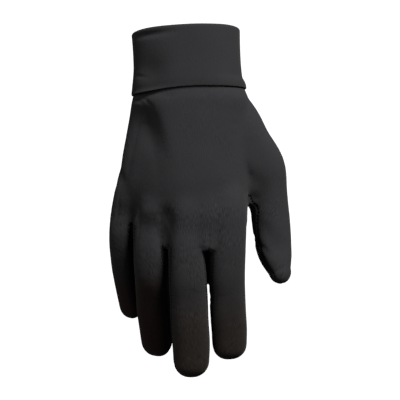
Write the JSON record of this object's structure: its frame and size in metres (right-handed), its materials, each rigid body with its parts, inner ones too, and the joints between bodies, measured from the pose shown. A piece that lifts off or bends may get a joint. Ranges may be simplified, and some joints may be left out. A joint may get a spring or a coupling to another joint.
{
  "type": "knitted liner glove",
  "caption": "Thin matt black knitted glove in its worn shape, with a wide folded cuff and side strips between the fingers.",
  "frame": {"origin": "middle of the wrist opening, inside the rim of the folded cuff", "axes": "+Z out of the glove along the forearm, so the fingers point down; -Y is the back of the hand; +X is the thumb's side"},
  "size_m": [0.1228, 0.0772, 0.2332],
  "materials": {
    "jersey": "fine plain knit, matt, soft nap over the knuckles",
    "strip_jersey": "the same fine plain knit in the seam strips, matt",
    "cuff_jersey": "fine plain knit folded double, matt and smooth"
  },
  "bodies": {
    "root": {"back_panel": "jersey", "palm_panel": "jersey", "strip_index_middle": "strip_jersey", "strip_middle_ring": "strip_jersey", "strip_ring_little": "strip_jersey", "cuff": "cuff_jersey"}
  },
  "joints": []
}
